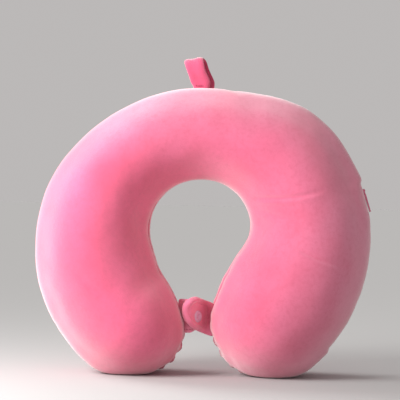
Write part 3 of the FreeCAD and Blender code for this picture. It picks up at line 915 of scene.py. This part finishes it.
# where a tab goes, half its width, its free end and root past the snap, and where it is stitched
FRONT_TAB = (front_tab_place, 15.2, FRONT_END - 1.0, FRONT_ROOT - 0.6, 0.64)
BACK_TAB = (back_tab_place, 14.6, BACK_END - 0.6, BACK_ROOT - 0.6, 0.80)
# painted shade: the front tab is painted deep crimson toward its +X root and above its lower edge, where it
# turns back into shadow
TAB_PAINTED_SHADE = ((0.36, 0.010, 0.045), -0.003, 0.005, 1.0, 0.037, 0.046, 0.95, "MULTIPLY")
# painted light: both tabs' velour is a brighter copy of the cover's, lighting tabs that the lobes shade
front_velour = velour("front_tab_velour_painted_light_and_shade", (0.92, 0.19, 0.34), (0.98, 0.27, 0.44), painted_light=TAB_PAINTED_SHADE)
back_velour = velour("back_tab_velour_painted_light", (0.94, 0.30, 0.45), (0.98, 0.38, 0.53))
front_tab = tab_piece("front_tab_velour", FRONT_TAB, thick=3.2, rim=1.7)
back_tab = tab_piece("back_tab_velour", BACK_TAB, thick=2.4, rim=0.0)
for piece, material, nodes, body in (
    (front_tab, front_velour, ("front_tab_face_ply", "front_tab_lining_ply"), "front_tab"),
    (back_tab, back_velour, ("back_tab_face_ply", "back_tab_lining_ply"), "back_tab"),
):
    piece.data.materials.append(material)
    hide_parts(*nodes)
    bend_with_tab(piece)


def tab_stitches(name, tab, face_out, node):
    """The line of stitching near a tab's edge, from root to root round the free end."""
    place, half, end, root, stitched = tab
    points, ups = [], []
    further_out = face_out + math.copysign(1, face_out)
    for k in range(61):
        angle = math.radians(-128 + 256 * k / 60)
        reach = tab_outline_reach(angle, half, end, root) * stitched
        p, q = reach * math.cos(angle), reach * math.sin(angle)
        here, above = Vector(place(p, q, face_out)), Vector(place(p, q, further_out))
        points.append(here)
        ups.append((above - here).normalized())
    item = stitches(name, points, ups, 1.9, 0.26, node)
    bend_with_tab(item)


tab_stitches("front_tab_stitches", FRONT_TAB, 1.0, "front_tab_stitching")
tab_stitches("back_tab_stitches", BACK_TAB, -0.7, "back_tab_stitching")

# ---------------------------------------------------------------- snap
SNAP_Q = -2.6
SNAP_SPOT = Vector(front_tab_place(0.0, SNAP_Q, 1.2))
SNAP_AXIS = (Vector(front_tab_place(0.0, SNAP_Q, 2.2)) - SNAP_SPOT).normalized()
# each profile: radius, and height along the snap's axis
CAP = [(0.01, -0.4), (4.6, -0.4), (5.2, -0.15), (5.35, 0.25), (5.2, 0.7), (4.6, 1.15), (3.8, 1.42),
       (2.9, 1.5), (2.4, 1.42), (2.0, 1.15), (1.5, 0.98), (0.01, 0.92)]
BACK_CAP = [(0.01, -0.4), (4.1, -0.4), (4.6, -0.15), (4.75, 0.15), (4.6, 0.5), (3.9, 0.9),
            (2.4, 1.1), (0.01, 1.15)]
SOCKET = [(0.01, 0.0), (3.9, 0.0), (4.2, 0.3), (4.2, 1.7), (3.9, 2.0), (3.1, 2.0), (2.8, 1.7),
          (2.8, 0.7), (0.01, 0.7)]
STUD = [(0.01, 0.0), (4.0, 0.0), (4.3, 0.2), (4.3, 0.6), (4.0, 0.8), (1.7, 0.8), (1.6, 1.0),
        (1.9, 1.5), (1.9, 1.8), (1.5, 2.1), (0.01, 2.15)]
snap_back = SNAP_SPOT - SNAP_AXIS * 3.1
back_middle = Vector(back_tab_place(0.0, 0.0, 0.0))
for name, profile, centre, axis, node, body in (
    ("snap_cap_front", CAP, SNAP_SPOT, SNAP_AXIS, "snap_socket_cap", "front_tab"),
    ("snap_socket_ring", SOCKET, snap_back, -SNAP_AXIS, "snap_socket", "front_tab"),
    ("snap_stud_pin", STUD, back_middle + SNAP_AXIS * 0.9, SNAP_AXIS, "snap_stud", "back_tab"),
    ("snap_cap_back", BACK_CAP, back_middle - SNAP_AXIS * 0.8, -SNAP_AXIS, "snap_stud_cap",
     "back_tab"),
):
    piece = lathe(name, profile, centre, axis)
    piece.data.materials.append(snap_material)
    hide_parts(node)
    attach(piece, body)


# ---------------------------------------------------------------- zip
def rim_point(turn, distance, y, along=0.0):
    angle = math.radians(turn)
    return Vector((
        distance * math.sin(angle) + along * math.cos(angle), y,
        HUB + distance * math.cos(angle) - along * math.sin(angle),
    ))


COIL_RADIUS, COIL_PITCH, COIL_SIDES = 148.4, 1.45, 6
COIL_LOOP = [(2.5, 147.75), (1.5, 147.75), (0.45, 147.85), (0.16, 148.35), (0.45, 148.95),
             (1.5, 149.05), (2.5, 148.6)]


def coil_teeth(name, side, node):
    """Nylon teeth: one small loop after another, hooked over the middle, along the whole zip."""
    verts, faces = [], []
    sides, last_ring = COIL_SIDES, len(COIL_LOOP) - 1
    first, last = ZIP_START + 1.3, ZIP_START + ZIP_SWEEP - 1.3
    pitch = math.degrees(COIL_PITCH / COIL_RADIUS)
    count = int((last - first) / pitch)
    for k in range(count):
        turn = first + (k + (0.25 if side > 0 else 0.75)) * (last - first) / count
        base = len(verts)
        for y, distance in COIL_LOOP:
            for q in range(sides):
                angle = 2 * math.pi * q / sides
                out, along = 0.22 * math.sin(angle), 0.34 * math.cos(angle)
                verts.append([c * MM for c in rim_point(turn, distance + out, side * y, along)])
        for m in range(last_ring):
            for q in range(sides):
                a, b = base + m * sides + q, base + m * sides + (q + 1) % sides
                faces.append((a, b, b + sides, a + sides))
        faces.append(tuple(base + q for q in range(sides))[::-1])
        faces.append(tuple(base + last_ring * sides + q for q in range(sides)))
    item = make_mesh(name, verts, faces)
    item.data.materials.append(coil_material)
    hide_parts(node)
    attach(item, "pillow")


coil_teeth("zip_coil_teeth_front", -1, "zip_coil_front")
coil_teeth("zip_coil_teeth_back", 1, "zip_coil_back")

# the zip's other parts keep their CAD shape; each has its material and how wide its edges are eased
for node, material, width in (
    ("zip_tape_front", tape_material, 0.0), ("zip_tape_back", tape_material, 0.0),
    ("zip_top_stop", zip_paint, 0.00025), ("zip_bottom_stop", zip_paint, 0.00025),
    ("zip_slider", zip_paint, 0.00022), ("zip_pull", zip_paint, 0.00028),
):
    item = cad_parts[node]
    item.data.materials.clear()
    item.data.materials.append(material)
    if width:
        soften = item.modifiers.new("soft_edges", "BEVEL")
        soften.width, soften.segments, soften.limit_method = width, 2, "ANGLE"
        soften.angle_limit = math.radians(35)

# ---------------------------------------------------------------- stage, light and camera
FLOOR_HALF = 40
floor_corners = [(x * FLOOR_HALF, y * FLOOR_HALF, 0) for x, y in ((-1, -1), (1, -1), (1, 1), (-1, 1))]
floor = make_mesh("floor", floor_corners, [(0, 1, 2, 3)], smooth=False)
floor_material, _, floor_shader = new_material("pale_floor")
floor_shader.inputs["Base Color"].default_value = (0.476, 0.4715, 0.466, 1)
floor_shader.inputs["Roughness"].default_value = 1.0
floor_shader.inputs["Specular IOR Level"].default_value = 0.0
floor.data.materials.append(floor_material)

world = bpy.data.worlds.new("studio")
world.use_nodes = True
world.node_tree.nodes["Background"].inputs["Color"].default_value = (1.0, 0.965, 0.955, 1)
world.node_tree.nodes["Background"].inputs["Strength"].default_value = 0.50
bpy.context.scene.world = world


def far_light(name, toward, softness, power, colour):
    """A broad even light from a direction; softness is how wide it looks, in degrees."""
    lamp = bpy.data.lights.new(name, "SUN")
    lamp.angle, lamp.energy, lamp.color = math.radians(softness), power, colour
    item = bpy.data.objects.new(name, lamp)
    bpy.context.scene.collection.objects.link(item)
    item.rotation_euler = Vector(toward).to_track_quat("Z", "Y").to_euler()
    return item


bpy.context.scene.view_settings.view_transform = "Standard"
far_light("key", (-0.75, -0.50, 0.43), 22, 1.2, (1.0, 0.985, 0.97))
far_light("rim", (-0.75, 0.40, 0.55), 30, 2.2, (1.0, 1.0, 1.0))
side_lamp = bpy.data.lights.new("side", "AREA")
side_lamp.shape, side_lamp.size, side_lamp.energy = "DISK", 0.30, 3.5
side = bpy.data.objects.new("side", side_lamp)
bpy.context.scene.collection.objects.link(side)
side.location = (-0.42, -0.30, 0.33)
side.visible_camera = False
toward_pillow = Vector((-0.05, 0.0, 0.13)) - side.location
side.rotation_euler = toward_pillow.to_track_quat("-Z", "Y").to_euler()

camera_data = bpy.data.cameras.new("camera")
camera = bpy.data.objects.new("camera", camera_data)
bpy.context.scene.collection.objects.link(camera)
bpy.context.scene.camera = camera
# straight from the front, tipped a little; FIELD is how much of the scene's width the picture takes in
DISTANCE, ROLL, FIELD, SENSOR = 1.35, 1.3, 0.3612, 36.0
LOOK_AT = Vector((-0.0027, 0.0, 0.1570))
camera.location = LOOK_AT + Vector((0.0, -DISTANCE, 0.0))
aim = (LOOK_AT - camera.location).to_track_quat("-Z", "Y")
camera.rotation_euler = (aim.to_matrix() @ Matrix.Rotation(math.radians(ROLL), 3, "Z")).to_euler()
camera_data.sensor_width = SENSOR
camera_data.lens = SENSOR * DISTANCE / FIELD
